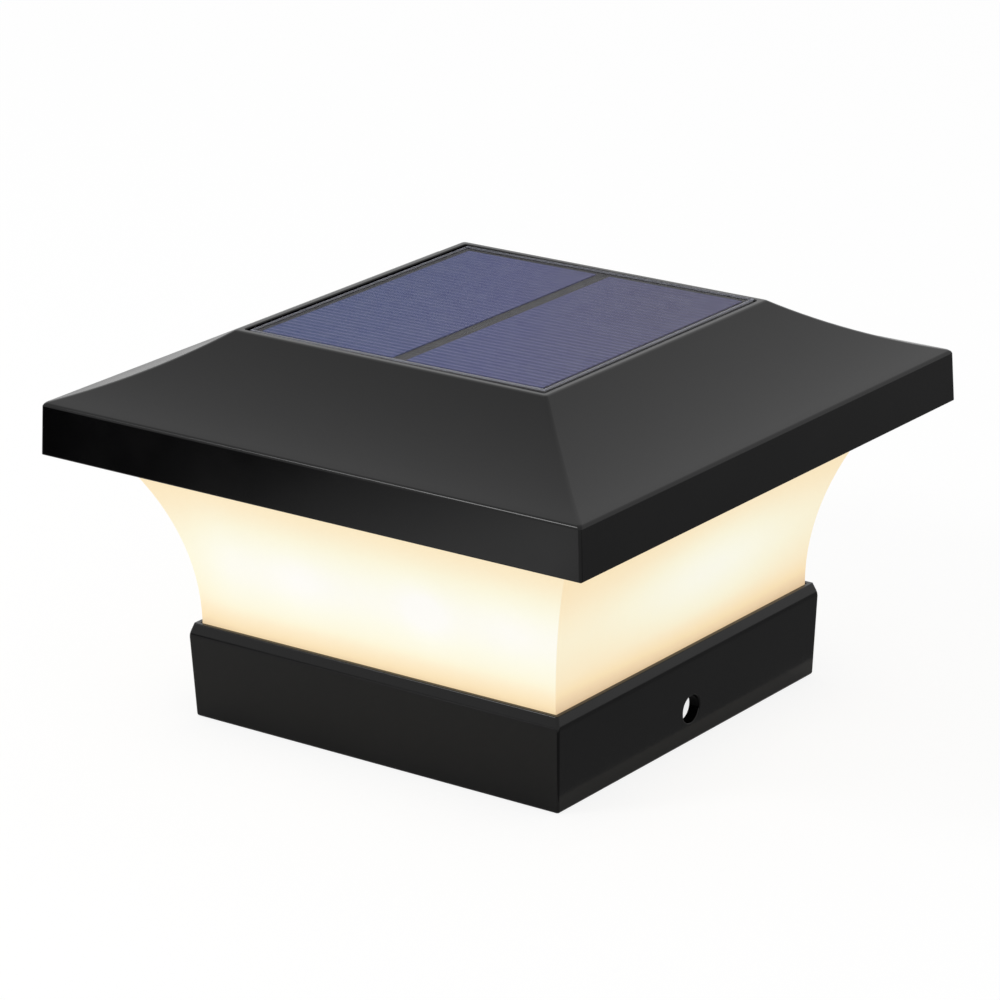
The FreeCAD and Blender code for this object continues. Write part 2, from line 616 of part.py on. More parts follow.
def make_deck():
    """Plate that the post's top meets, with the battery bay and the button's guide moulded on it."""
    plate_width = "socket_width - 2 * collar_clearance"
    plate = rounded_plate("DeckPlate", plate_width, plate_width, "collar_corner", "deck_thick",
                          z=DECK_UNDER)
    recess_length = f"({DOOR_LENGTH} + 2 * door_clearance)"
    recess_width = f"({DOOR_WIDTH} + 2 * door_clearance)"
    seat = block("DoorSeat", f"{recess_width} + 2 * bay_wall", f"{recess_length} + 2 * bay_wall",
                 f"{SEAT_TOP} - {DECK_UNDER}", "bay_offset", z=DECK_UNDER)
    bay = block("Bay", f"{BAY_WIDTH} + 2 * bay_wall", f"{BAY_LENGTH} + 2 * bay_wall",
                f"{BAY_ROOF} - {DECK_TOP}", "bay_offset", z=DECK_TOP)
    boss_width = "2 * (small_screw_radius + bay_wall)"
    door_bosses = [block(f"DoorBoss{i}", boss_width, boss_width, "small_screw_length", x, y, DOOR_SEAT)
                   for i, (x, y) in enumerate(door_screw_spots())]
    guide = block("ButtonGuide", "guide_width", "guide_width", f"{GUIDE_TOP} - {DECK_UNDER}",
                  "-button_offset", z=DECK_UNDER)
    posts = [block(f"SwitchPost{i}", "switch_post_width", "switch_post_width",
                   f"{SWITCH_TOP} - {DECK_UNDER}", "-button_offset", y, DECK_UNDER)
             for i, y in enumerate(switch_post_rows())]
    posts += [block(f"Stake{i}", "stake_width", "stake_width",
                    f"{SWITCH_BOARD_TOP} + stake_height - {SWITCH_UNDER}", "-button_offset", y,
                    SWITCH_UNDER) for i, y in enumerate(switch_post_rows())]
    posts += [block(f"Standoff{i}", "standoff_width", "standoff_width",
                    f"{CONTROL_UNDER} - {BAY_CEILING}", f"bay_offset + {x} * standoff_spread_x",
                    f"{y} * standoff_spread_y", BAY_CEILING) for i, (x, y) in enumerate(CORNERS)]
    blank = fuse("DeckBlank", plate, seat, bay, guide, *door_bosses, *posts)
    tools = [
        block("DoorRecess", recess_width, recess_length, f"{DOOR_SEAT} - {DECK_UNDER}", "bay_offset",
              z=DECK_UNDER),
        block("BayInside", BAY_WIDTH, BAY_LENGTH, f"{BAY_CEILING} - {DECK_UNDER}", "bay_offset",
              z=DECK_UNDER),
        rod("ButtonHole", "button_radius + running_gap", f"{GUIDE_TOP} - {DECK_UNDER}",
            "-button_offset", z=DECK_UNDER)]
    for i, (x, y) in enumerate(door_screw_spots()):
        tools.append(rod(f"DoorPilot{i}", PILOT_RADIUS, "small_screw_length", x, y, DOOR_TOP))
    for i, (x, y) in enumerate(control_screw_spots()):
        tools.append(rod(f"StandoffPilot{i}", PILOT_RADIUS, "standoff_height", x, y,
                         f"{CONTROL_UNDER} - standoff_height"))
    for i, (x, y) in enumerate(tie_spots()):
        tools.append(rod(f"TieHole{i}", "tie_radius + running_gap", "deck_thick", x, y, DECK_UNDER))
        tools.append(rod(f"TieCounterbore{i}", "tie_head_radius + running_gap",
                         "head_height + head_gap", x, y, DECK_UNDER))
    for i, (x, y) in enumerate(core_screw_spots()):
        tools.append(rod(f"CoreHole{i}", "small_screw_radius + running_gap", "deck_thick",
                         x, y, DECK_UNDER))
        tools.append(rod(f"CoreCounterbore{i}", "small_head_radius + running_gap",
                         "small_head_height + head_gap", x, y, DECK_UNDER))
    return keep(cut("Deck", blank, *tools), "deck_plate")


def make_battery():
    """Cell with its raised end, between two bent leaf contacts."""
    keep(lying_rod("BatteryCan", "battery_radius", "battery_length", "bay_offset", BATTERY_START,
                   BATTERY_AXIS, "Y"), "battery_cell")
    keep(lying_rod("BatteryCap", "battery_cap_radius", "battery_cap_length", "bay_offset",
                   f"{BATTERY_START} + battery_length", BATTERY_AXIS, "Y"), "battery_plus_cap")
    for label, side in (("contact_plus", 1), ("contact_minus", -1)):
        keep(leaf_contact(label.title().replace("_", ""), side), label)


def leaf_contact(name, side):
    """A strip that lies on the bay's end wall and bends back to press on the cell."""
    wall = f"({BAY_LENGTH} / 2)"
    face = f"({BAY_LENGTH} / 2 - contact_thick)"
    tip = f"({BAY_LENGTH} / 2 - contact_room)"
    low = f"({BATTERY_AXIS} - battery_radius * 0.7)"
    high = f"({BATTERY_AXIS} + battery_radius * 0.7)"
    bend = f"({BATTERY_AXIS} - battery_cap_radius * 0.4)"
    tail = f"({BATTERY_AXIS} + battery_cap_radius * 0.8)"
    right = [(wall, low), (wall, high), (face, high), (face, f"{low} + 2 * contact_thick"),
             (f"{tip} + contact_thick", bend), (f"{tip} + contact_thick", tail), (tip, tail), (tip, bend),
             (face, low)]
    corners = right if side > 0 else [(f"-({across})", up) for across, up in reversed(right)]
    body = doc.addObject("PartDesign::Body", name)
    sketch = outline(body, name + "_section", "YZ_Plane", corners)
    pad(body, name + "_strip", sketch, "contact_width", both_ways=True)
    return place(body, "bay_offset")


def make_door():
    """Battery door in the deck plate's recess, its gasket ring and its two screws."""
    plate = rounded_plate("DoorPlate", DOOR_WIDTH, DOOR_LENGTH, "door_corner", "door_thick",
                          "bay_offset", z=DECK_UNDER)
    tools = []
    screws = []
    for i, (x, y) in enumerate(door_screw_spots()):
        head_top = f"({DECK_UNDER} + head_gap + small_head_height)"
        tools.append(rod(f"DoorHole{i}", "small_screw_radius + running_gap", "door_thick",
                         x, y, DECK_UNDER))
        tools.append(rod(f"DoorCounterbore{i}", "small_head_radius + running_gap",
                         "small_head_height + head_gap", x, y, DECK_UNDER))
        screws.append(fuse(f"DoorScrew{i}",
                           rod(f"DoorHead{i}", "small_head_radius", "small_head_height",
                               x, y, f"{DECK_UNDER} + head_gap"),
                           rod(f"DoorShank{i}", "small_screw_radius",
                               f"{DOOR_TOP} + small_screw_length - thread_gap - {head_top}",
                               x, y, head_top)))
    keep(cut("Door", plate, *tools), "battery_door")
    keep(group("DoorScrews", *screws), "door_screws")
    ring = cut("DoorGasket",
               block("GasketOutside", f"{BAY_WIDTH} + 2 * door_gasket_wall",
                     f"{BAY_LENGTH} + 2 * door_gasket_wall", "door_gasket_thick", "bay_offset",
                     z=DOOR_TOP),
               block("GasketInside", BAY_WIDTH, BAY_LENGTH, "door_gasket_thick", "bay_offset",
                     z=DOOR_TOP))
    keep(ring, "door_gasket")


# ---- button and switch ----

def make_button():
    """Recessed push button: a stem in the guide, a flange over it, and the switch's plunger."""
    stem_foot = f"({DECK_UNDER} + button_recess)"
    stem = rod("ButtonStem", "button_radius", f"{BUTTON_TOP} - {stem_foot}", "-button_offset",
               z=stem_foot)
    flange = rod("ButtonFlange", "button_flange_radius", "button_flange_thick", "-button_offset",
                 z=FLANGE_SEAT)
    keep(fuse("Button", stem, flange), "mode_button")
    seal = cut("ButtonSeal",
               block("SealOutside", "guide_width", "guide_width", "seal_thick", "-button_offset",
                     z=GUIDE_TOP),
               rod("SealInside", "button_radius + running_gap", "seal_thick", "-button_offset",
                   z=GUIDE_TOP))
    keep(seal, "button_seal")
    plunger_length = f"({SWITCH_UNDER} + switch_height / 2 - {BUTTON_TOP})"
    keep(rod("Plunger", "plunger_radius", plunger_length, "-button_offset", z=BUTTON_TOP),
         "switch_plunger")
    well_depth = "(switch_height / 2 + button_travel + running_gap)"
    keep(cut("SwitchBody",
             block("SwitchBlock", "switch_width", "switch_width", "switch_height", "-button_offset",
                   z=SWITCH_UNDER),
             rod("SwitchWell", "plunger_radius + running_gap", well_depth, "-button_offset",
                 z=SWITCH_UNDER)), "switch_body")
    holes = [block(f"SwitchBoardHole{i}", "stake_width + 2 * running_gap",
                   "stake_width + 2 * running_gap", "light_board_thick", "-button_offset", y, SWITCH_TOP)
             for i, y in enumerate(switch_post_rows())]
    board = block("SwitchBoard", "switch_board_width", "switch_board_length", "light_board_thick",
                  "-button_offset", z=SWITCH_TOP)
    keep(cut("SwitchBoardCut", board, *holes), "switch_board")


# ---- light core, boards and emitters ----

def make_core():
    """White housing open below, with corner bosses and holes for the wires."""
    inner_width = "(core_width - 2 * core_wall)"
    inner_depth = f"({CORE_DEPTH} - 2 * core_wall)"
    shell = cut("CoreShell",
                block("CoreOutside", "core_width", CORE_DEPTH, "core_height", z=DECK_TOP),
                block("CoreInside", inner_width, inner_depth, "core_height - core_wall", z=DECK_TOP))
    boss_width = "(core_screw_inset + small_screw_radius + bay_wall)"
    bosses = [block(f"CoreBoss{i}", boss_width, boss_width, "small_screw_length",
                    f"{x} * (core_width - {boss_width}) / 2", f"{y} * ({CORE_DEPTH} - {boss_width}) / 2",
                    DECK_TOP) for i, (x, y) in enumerate(DIAGONAL)]
    pilots = [rod(f"CorePilot{i}", PILOT_RADIUS, "small_screw_length", x, y, DECK_TOP)
              for i, (x, y) in enumerate(core_screw_spots())]
    lead_hole = block("CoreLeadHole", "lead_hole_width", "lead_hole_width", "core_wall", "bay_offset",
                      z=f"{CORE_TOP} - core_wall")
    slot_height = "2 * (wire_radius + running_gap)"
    slot = block("CoreWireSlot", f"wire_spacing + {slot_height}", CORE_DEPTH, slot_height,
                 "bay_offset", z=f"{LIGHT_WIRE_HEIGHT} - wire_radius - running_gap")
    bossed = fuse("CoreBossed", shell, *bosses)
    return keep(cut("Core", bossed, *pilots, lead_hole, slot), "light_core")


def make_lights():
    """Two light boards on the core's front and rear, with three emitters on each."""
    for side, end in ((-1, "front"), (1, "rear")):
        face = f"({CORE_DEPTH} / 2)"
        board = block(f"LightBoard_{end}", "light_board_length", "light_board_thick",
                      "light_board_height", y=f"{side} * ({face} + light_board_thick / 2)",
                      z=f"{LIGHT_HEIGHT} - light_board_height / 2")
        keep(board, f"led_board_{end}")
        emitters = [block(f"Emitter_{end}{i}", "emitter_length", "emitter_thick", "emitter_height",
                          f"{spot} * light_pitch",
                          f"{side} * ({face} + light_board_thick + emitter_thick / 2)",
                          f"{LIGHT_HEIGHT} - emitter_height / 2")
                    for i, spot in enumerate((-1, 0, 1))]
        keep(group(f"Emitters_{end}", *emitters), f"leds_{end}")


# ---- control board ----

def make_control_board():
    """Charge and light circuit over the battery bay, with its larger components."""
    board = block("ControlBoard", "control_width", "control_length", "board_thick", "bay_offset",
                  z=CONTROL_UNDER)
    holes = [rod(f"ControlHole{i}", "small_screw_radius + running_gap", "board_thick",
                 x, y, CONTROL_UNDER) for i, (x, y) in enumerate(control_screw_spots())]
    keep(cut("ControlBoardCut", board, *holes), "control_board")
    left, right = "bay_offset - component_spread_x", "bay_offset + component_spread_x"
    front, rear = "-component_spread_y", "component_spread_y"
    parts = [block(f"Connector{i}", "connector_width", "connector_depth", "connector_height",
                   "bay_offset", y, CONTROL_TOP)
             for i, y in enumerate((f"-{CONNECTOR_Y}", "0", CONNECTOR_Y))]
    parts += [
        block("Chip", "chip_length", "chip_length", "chip_height", right, front, CONTROL_TOP),
        block("Diode", "chip_length", "chip_length / 2", "chip_height", right, rear, CONTROL_TOP),
        block("Coil", "coil_width", "coil_width", "coil_height", left, front, CONTROL_TOP),
        rod("Capacitor", "capacitor_radius", "capacitor_height", left, rear, CONTROL_TOP)]
    keep(group("BoardParts", *parts), "board_parts")


# ---- screws ----

def screw(name, head_radius, head_height, radius, length, x, y, head_z, shank_up=True):
    """A plain screw: a round head and a shank, pointing up or down from the head."""
    head = rod(name + "_head", head_radius, head_height, x, y, head_z)
    shank_z = f"({head_z} + {head_height})" if shank_up else f"({head_z} - ({length}))"
    return fuse(name, head, rod(name + "_shank", radius, length, x, y, shank_z))


def make_screws():
    long_length = (f"({ROOF_CEILING} - thread_gap - {DECK_UNDER} - head_gap - head_height)")
    ties = [screw(f"TieScrew{i}", "tie_head_radius", "head_height", "tie_radius", long_length,
                  x, y, f"({DECK_UNDER} + head_gap)") for i, (x, y) in enumerate(tie_spots())]
    keep(group("TieScrews", *ties), "tie_screws")
    core_length = (f"({DECK_TOP} + small_screw_length - thread_gap - {DECK_UNDER}"
                   " - head_gap - small_head_height)")
    cores = [screw(f"CoreScrew{i}", "small_head_radius", "small_head_height", "small_screw_radius",
                   core_length, x, y, f"({DECK_UNDER} + head_gap)")
             for i, (x, y) in enumerate(core_screw_spots())]
    keep(group("CoreScrews", *cores), "core_screws")
    boards = [screw(f"ControlScrew{i}", "small_head_radius", "small_head_height",
                    "small_screw_radius", "board_thick + standoff_height - thread_gap",
                    x, y, CONTROL_TOP, shank_up=False)
              for i, (x, y) in enumerate(control_screw_spots())]
    keep(group("BoardScrews", *boards), "board_screws")


# ---- wires ----

def wire(name, length, x, y, z, lying=False):
    """A straight insulated wire, upright or along Y, from its lower end.

    Its section has eight sides, which is round enough for a wire inside the housing.
    """
    prism = doc.addObject("Part::Prism", name)
    prism.Polygon = 8
    bind(prism, Circumradius="wire_radius", Height=length)
    if lying:
        prism.Placement.Rotation = Rotation(Vector(1, 0, 0), -90)
    return place(prism, x, y, z)


def make_wires():
    """Leads from the panel down to the control board, and from that board out to the light boards."""
    drop = f"({RECESS_FLOOR} + tape_thick - {CONNECTOR_TOP})"
    leads = [wire(f"PanelLead{i}", drop, f"bay_offset + {side} * wire_spacing / 2", "0", CONNECTOR_TOP)
             for i, side in enumerate((-1, 1))]
    keep(group("PanelLeads", *leads), "panel_leads")
    run = f"(({CORE_DEPTH} - control_length) / 2)"
    lights = []
    for i, (side, end) in enumerate((s, e) for s in (-1, 1) for e in (-1, 1)):
        x = f"bay_offset + {side} * wire_spacing / 2"
        start = "control_length / 2" if end > 0 else f"-{CORE_DEPTH} / 2"
        lights.append(wire(f"LightLead{i}", run, x, start, LIGHT_WIRE_HEIGHT, lying=True))
    keep(group("LightLeads", *lights), "led_leads")


make_roof()
make_panel()
make_roof_gasket()
make_diffuser()
make_collar()
make_collar_gasket()
make_deck()
make_battery()
make_door()
make_button()
make_core()
make_lights()
make_control_board()
make_screws()
make_wires()

doc.recompute()
broken = [thing.Label for thing in doc.Objects if {"Invalid", "Error"} & set(thing.State)]
broken += [thing.Label for thing in subparts if thing.Shape.isNull() or not thing.Shape.isValid()]
if broken:
    raise RuntimeError(f"these did not build: {broken}")

os.makedirs("parts", exist_ok=True)
for thing in subparts:
    thing.Shape.exportStep(f"parts/{thing.Label}.step")
    print(f"{thing.Label:18s} solids {len(thing.Shape.Solids)}  volume {thing.Shape.Volume:10.1f}")
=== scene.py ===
# %% [markdown]
# # A solar cap light for a deck post
#
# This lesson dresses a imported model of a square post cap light: a black moulded roof with a
# solar panel in its top, a milky diffuser that glows warm white, and a black collar that slips
# over a post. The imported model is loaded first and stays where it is. Everything made here is
# built around it, in metres, with +Z up the post and the front face towards -Y.

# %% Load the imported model
import json
import math

import bmesh
import bpy
from mathutils import Matrix, Vector


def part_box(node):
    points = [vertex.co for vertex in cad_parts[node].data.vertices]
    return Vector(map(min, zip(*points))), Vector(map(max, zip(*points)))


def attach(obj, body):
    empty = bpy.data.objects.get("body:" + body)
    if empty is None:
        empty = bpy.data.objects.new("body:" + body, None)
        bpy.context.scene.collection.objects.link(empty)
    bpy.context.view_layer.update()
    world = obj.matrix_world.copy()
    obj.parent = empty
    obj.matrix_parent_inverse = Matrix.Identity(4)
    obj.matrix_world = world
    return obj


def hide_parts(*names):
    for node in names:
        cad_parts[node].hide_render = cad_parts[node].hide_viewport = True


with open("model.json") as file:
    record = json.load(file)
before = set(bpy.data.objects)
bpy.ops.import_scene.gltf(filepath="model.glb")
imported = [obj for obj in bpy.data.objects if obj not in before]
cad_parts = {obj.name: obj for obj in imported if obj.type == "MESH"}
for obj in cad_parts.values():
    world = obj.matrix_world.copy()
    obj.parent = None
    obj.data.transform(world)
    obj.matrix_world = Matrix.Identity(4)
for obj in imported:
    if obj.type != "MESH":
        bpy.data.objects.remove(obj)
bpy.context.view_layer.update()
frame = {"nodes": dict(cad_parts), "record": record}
MM = 0.001
scene = bpy.context.scene

# %% [markdown]
# ## The camera
#
# The light was seen from a little above, with one vertical corner slightly left of the middle.
# The numbers say how far the camera is turned round the light, how high it looks from, how
# much it leans and how long its lens is. A matrix built from three directions places it in one
# step, which is plainer than turning it by eye.

# %% Place the camera
LOOK_ROUND, LOOK_DOWN, LOOK_LEAN = (math.radians(angle) for angle in (36.589, 19.183, -0.757))
LOOK_AT = Vector((18.17, -26.58, 62.58)) * MM
LOOK_FROM_FAR = 1114.5 * MM
LENS_MM = 168.14

back = Vector((math.sin(LOOK_ROUND) * math.cos(LOOK_DOWN),
               -math.cos(LOOK_ROUND) * math.cos(LOOK_DOWN), math.sin(LOOK_DOWN)))
level = Vector((math.cos(LOOK_ROUND), math.sin(LOOK_ROUND), 0))
upright = back.cross(level)
right = level * math.cos(LOOK_LEAN) + upright * math.sin(LOOK_LEAN)
up = upright * math.cos(LOOK_LEAN) - level * math.sin(LOOK_LEAN)

camera = bpy.data.objects.new("camera", bpy.data.cameras.new("camera"))
scene.collection.objects.link(camera)
camera.data.sensor_width = 36
camera.data.lens = LENS_MM
camera.data.clip_start, camera.data.clip_end = 0.05, 30
camera.matrix_world = (Matrix.Translation(LOOK_AT + back * LOOK_FROM_FAR)
                       @ Matrix((right, up, back)).transposed().to_4x4())
scene.camera = camera
scene.view_settings.view_transform = "Standard"
print("camera at", [round(value, 3) for value in camera.location])

# %% [markdown]
# ## Shader building blocks
#
# All finishes on this light are moulded or printed, so they share three things: a colour that
# wanders a little, a gloss that wanders a little, and a very fine grain. Writing them once
# keeps every material short. They read Object coordinates, which are metres here, so the grain
# has its real size on every piece.

# %% Shader helpers
def new_finish(name):
    """A new material, with its nodes and its main shader."""
    material = bpy.data.materials.new(name)
    material.use_nodes = True
    return material, material.node_tree, material.node_tree.nodes["Principled BSDF"]


def calc(tree, operation, first, second=None, clamp=False):
    """One sum in a material: each input is a number or another node's output."""
    node = tree.nodes.new("ShaderNodeMath")
    node.operation = operation
    node.use_clamp = clamp
    for socket, value in zip(node.inputs, (first, second)):
        if isinstance(value, bpy.types.NodeSocket):
            tree.links.new(value, socket)
        elif value is not None:
            socket.default_value = value
    return node.outputs[0]


def ramp(tree, value, stops):
    """Colours along a value from 0 to 1, as (place, colour) pairs."""
    node = tree.nodes.new("ShaderNodeValToRGB")
    while len(node.color_ramp.elements) < len(stops):
        node.color_ramp.elements.new(1)
    for element, (place, colour) in zip(node.color_ramp.elements, stops):
        element.position = place
        element.color = (*colour, 1)
    tree.links.new(value, node.inputs[0])
    return node.outputs[0]


def fade(tree, value, low, high, to_low=0, to_high=1):
    """Turns a range of a value smoothly into another range."""
    node = tree.nodes.new("ShaderNodeMapRange")
    node.interpolation_type = "SMOOTHSTEP"
    for socket, number in zip(node.inputs[1:5], (low, high, to_low, to_high)):
        socket.default_value = number
    tree.links.new(value, node.inputs[0])
    return node.outputs[0]


def places(tree):
    """The x, y and z of the point that is being shaded, in metres."""
    where = tree.nodes.new("ShaderNodeTexCoord").outputs["Object"]
    split = tree.nodes.new("ShaderNodeSeparateXYZ")
    tree.links.new(where, split.inputs[0])
    return where, *split.outputs


def cloud(tree, size, detail=3):
    """A soft noise from 0 to 1 whose patches are about size metres across."""
    node = tree.nodes.new("ShaderNodeTexNoise")
    node.inputs["Scale"].default_value = 1 / size
    node.inputs["Detail"].default_value = detail
    tree.links.new(places(tree)[0], node.inputs["Vector"])
    return node.outputs[0]


def grain(tree, shader, size, height):
    """Fine moulded grain: bumps of that size and height, in metres."""
    bump = tree.nodes.new("ShaderNodeBump")
    bump.inputs["Strength"].default_value = 1
    bump.inputs["Distance"].default_value = height
    tree.links.new(cloud(tree, size, 2), bump.inputs["Height"])
    tree.links.new(bump.outputs[0], shader.inputs["Normal"])


def moulded(name, dark, light, gloss, patch=12 * MM, bumps=0.5 * MM, bump_height=0.01 * MM,
            **sockets):
    """A moulded or plated finish: two colours, two roughnesses and a grain."""
    material, tree, shader = new_finish(name)
    for socket, value in sockets.items():
        shader.inputs[socket.replace("_", " ")].default_value = value
    wander = cloud(tree, patch)
    tree.links.new(ramp(tree, wander, ((0.3, dark), (0.7, light))), shader.inputs["Base Color"])
    tree.links.new(fade(tree, wander, 0.3, 0.7, *gloss), shader.inputs["Roughness"])
    grain(tree, shader, bumps, bump_height)
    return material


# %% [markdown]
# ## Modelling helper: a square form
#
# The roof, the diffuser and the collar are all square all the way round, with mitred corners.
# One way is to model a single side and mirror it twice. Drawing one square and extruding its
# edges upwards and inwards, one height after another, is shorter and closes by itself, like
# drawing one section of a picture frame. Edges that are round on the real moulding get a
# bevel weight, and a Bevel modifier rounds them at the end.

# %% Square forms
def arc(start, end, radius, steps, bulge=1):
    """Points from start to end, without start, along an arc; bulge says on which side."""
    start, end = Vector(start), Vector(end)
    chord = end - start
    away = Vector((-chord.y, chord.x)).normalized() * bulge
    middle = (start + end) / 2 + away * math.sqrt(radius ** 2 - (chord.length / 2) ** 2)
    turn = (start - middle).angle_signed(end - middle)
    return [tuple(middle + Matrix.Rotation(-turn * step / steps, 2) @ (start - middle))
            for step in range(1, steps + 1)]


def weigh(edges, layer, weight):
    """Marks edges for rounding; 1 is the full width of the piece's bevel."""
    for edge in edges:
        edge[layer] = weight


def square_form(bm, stations, corner, rounded=()):
    """Carries a square through (half width, height) stations in millimetres.

    corner is the bevel weight of the upright corners, rounded the weights of whole loops by
    station number. Returns the first and the last loop."""
    layer = bm.edges.layers.float.get("bevel_weight_edge")
    layer = layer or bm.edges.layers.float.new("bevel_weight_edge")
    half, height = stations[0]
    made = bmesh.ops.create_grid(bm, x_segments=1, y_segments=1, size=half * MM)
    bmesh.ops.translate(bm, vec=(0, 0, height * MM), verts=made["verts"])
    face = made["verts"][0].link_faces[0]
    loop = first = list(face.edges)
    bmesh.ops.delete(bm, geom=[face], context="FACES_ONLY")
    weigh(loop, layer, dict(rounded).get(0, 0))
    for number, (next_half, next_height) in enumerate(stations[1:], 1):
        made = bmesh.ops.extrude_edge_only(bm, edges=loop)["geom"]
        points = [item for item in made if isinstance(item, bmesh.types.BMVert)]
        loop = [item for item in made if isinstance(item, bmesh.types.BMEdge)
                and all(point in points for point in item.verts)]
        rails = {edge for point in points for edge in point.link_edges} - set(loop)
        size = next_half / half
        bmesh.ops.scale(bm, vec=(size, size, 1), verts=points)
        bmesh.ops.translate(bm, vec=(0, 0, (next_height - height) * MM), verts=points)
        weigh(rails, layer, corner)
        weigh(loop, layer, dict(rounded).get(number, 0))
        half, height = next_half, next_height
    return first, loop


def finish_piece(name, bm, body, material, round_mm=0.0, round_steps=4, sharp=30, node=()):
    """Makes the piece an object: smooth faces, rounded edges, its finish and its body."""
    bmesh.ops.recalc_face_normals(bm, faces=bm.faces[:])
    for face in bm.faces:
        face.smooth = True
    for edge in bm.edges:
        edge.smooth = edge.calc_face_angle(0) < math.radians(sharp)
    mesh = bpy.data.meshes.new(name)
    bm.to_mesh(mesh)
    bm.free()
    piece = bpy.data.objects.new(name, mesh)
    scene.collection.objects.link(piece)
    if round_mm:
        bevel = piece.modifiers.new("rounded edges", "BEVEL")
        bevel.limit_method = "WEIGHT"
        bevel.width = round_mm * MM
        bevel.segments = round_steps
        bevel.harden_normals = False
    weighted = piece.modifiers.new("even shading", "WEIGHTED_NORMAL")
    weighted.keep_sharp = True
    mesh.materials.append(material)
    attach(piece, body)
    if node:
        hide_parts(*node)
    print(name, "faces", len(mesh.polygons))
    return piece


# %% [markdown]
# ## Black moulded plastic
#
# Roof and collar are one black, glossy plastic, moulded in a polished tool. It is nearly black
# in itself, and what is seen of it is what it mirrors: the pale sky on the slopes, the floor in
# the upright faces. So its colour stays very dark, and its gloss, which wanders a little as on
# every moulding, does the work.

# %% Black plastic
black_plastic = moulded("black gloss plastic", (0.0016, 0.0016, 0.0018), (0.0026, 0.0025, 0.0027),
                        (0.13, 0.19), patch=25 * MM, bumps=0.6 * MM, bump_height=0.0015 * MM,
                        Specular_IOR_Level=0.26)
print("finish", black_plastic.name)

# %% [markdown]
# ## The roof
#
# The real roof is one moulding: an upright skirt, four hollow-curved slopes that meet in mitred
# hips, a flat rim and a square recess for the panel. A square form carries the outer section
# up the skirt, along the arc of the slope, over the rim and down to the recess floor, and then
# the even wall inside. The hips and the skirt's upper edge are rounded by less than a
# millimetre, which is what catches the light.

# %% Roof moulding
roof_low, roof_high = (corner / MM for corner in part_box("roof_shell"))
cover_low, cover_high = (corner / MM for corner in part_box("panel_cover"))
tape_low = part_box("panel_tape")[0].z / MM
ROOF_HALF = roof_high.x
ROOF_TOP = roof_high.z
EAVES = roof_low.z
ROOF_WALL = 2.2
SKIRT_LEAN = 0.5
SLOPE_HEIGHT = 15.7
SLOPE_RADIUS = 118
RECESS_HALF = cover_high.x + 0.9
RIM_WIDTH = 1.65
TRAY_WALL = 2.2
EDGE_ROUND = 0.7
INNER_FOOT_DROP = 1.65
CEILING = 95.5
INNER_STEPS = 6
SKIRT_TOP = ROOF_TOP - SLOPE_HEIGHT
SLOPE_STEPS = 14

rim_half = RECESS_HALF + RIM_WIDTH
slope_foot = (ROOF_HALF - SKIRT_LEAN, SKIRT_TOP)
outside = [(ROOF_HALF, EAVES), slope_foot]
outside += arc(slope_foot, (rim_half, ROOF_TOP), SLOPE_RADIUS, SLOPE_STEPS, -1)
outside += [(RECESS_HALF, ROOF_TOP), (RECESS_HALF, tape_low)]
inner_foot = (ROOF_HALF - SKIRT_LEAN - ROOF_WALL, SKIRT_TOP - INNER_FOOT_DROP)
inside = [(ROOF_HALF - ROOF_WALL, EAVES), inner_foot]
inside += arc(inner_foot, (RECESS_HALF + TRAY_WALL, CEILING), SLOPE_RADIUS + ROOF_WALL,
              INNER_STEPS, -1)
inside += [(RECESS_HALF + TRAY_WALL, tape_low - TRAY_WALL)]

bm = bmesh.new()
last = len(outside) - 1
foot, recess = square_form(bm, outside, 1, {0: 0.5, 1: 1, last - 2: 0.6, last - 1: 0.4})
bmesh.ops.edgeloop_fill(bm, edges=recess)
inner_edge, ceiling = square_form(bm, inside, 0)
bmesh.ops.edgeloop_fill(bm, edges=ceiling)
bmesh.ops.bridge_loops(bm, edges=foot + inner_edge)
finish_piece("roof_skin", bm, "housing", black_plastic,
             round_mm=EDGE_ROUND, node=("roof_shell",))

# %% [markdown]
# ## The solar panel
#
# The panel is a dark board with two halves of blue violet cells under a thin clear layer. Its
# makers glued it in slightly askew: the right side stands a little proud, and the gap round it
# is wider on the left. The three pieces are modelled level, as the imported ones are, and one
# small matrix then settles all of them together. The fine pale lines are printed on the cells,
# so they belong in the colour and not in the shape.

# %% How the panel sits
board_low, board_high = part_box("panel_board")
PANEL_HALF = board_high.x / MM
PANEL_LEAN = math.radians(-0.43)
PANEL_SHIFT = 0.4 * MM
panel_middle = (board_low + board_high) / 2
panel_seat = (Matrix.Translation(panel_middle + Vector((PANEL_SHIFT, 0, 0)))
              @ Matrix.Rotation(PANEL_LEAN, 4, "Y") @ Matrix.Translation(-panel_middle))


def panel_slab(bm, half, low, high, edge=0.4):
    """A square slab of the panel, with its upper edge marked for rounding."""
    under, over = square_form(bm, [(half, low), (half, high)], edge, {1: edge})
    for loop in (under, over):
        bmesh.ops.edgeloop_fill(bm, edges=loop)


# %% Finishes of the panel
backing = moulded("panel backing", (0.026, 0.025, 0.029), (0.034, 0.033, 0.038), (0.45, 0.55),
                  patch=6 * MM, bumps=0.4 * MM, Specular_IOR_Level=0.2)

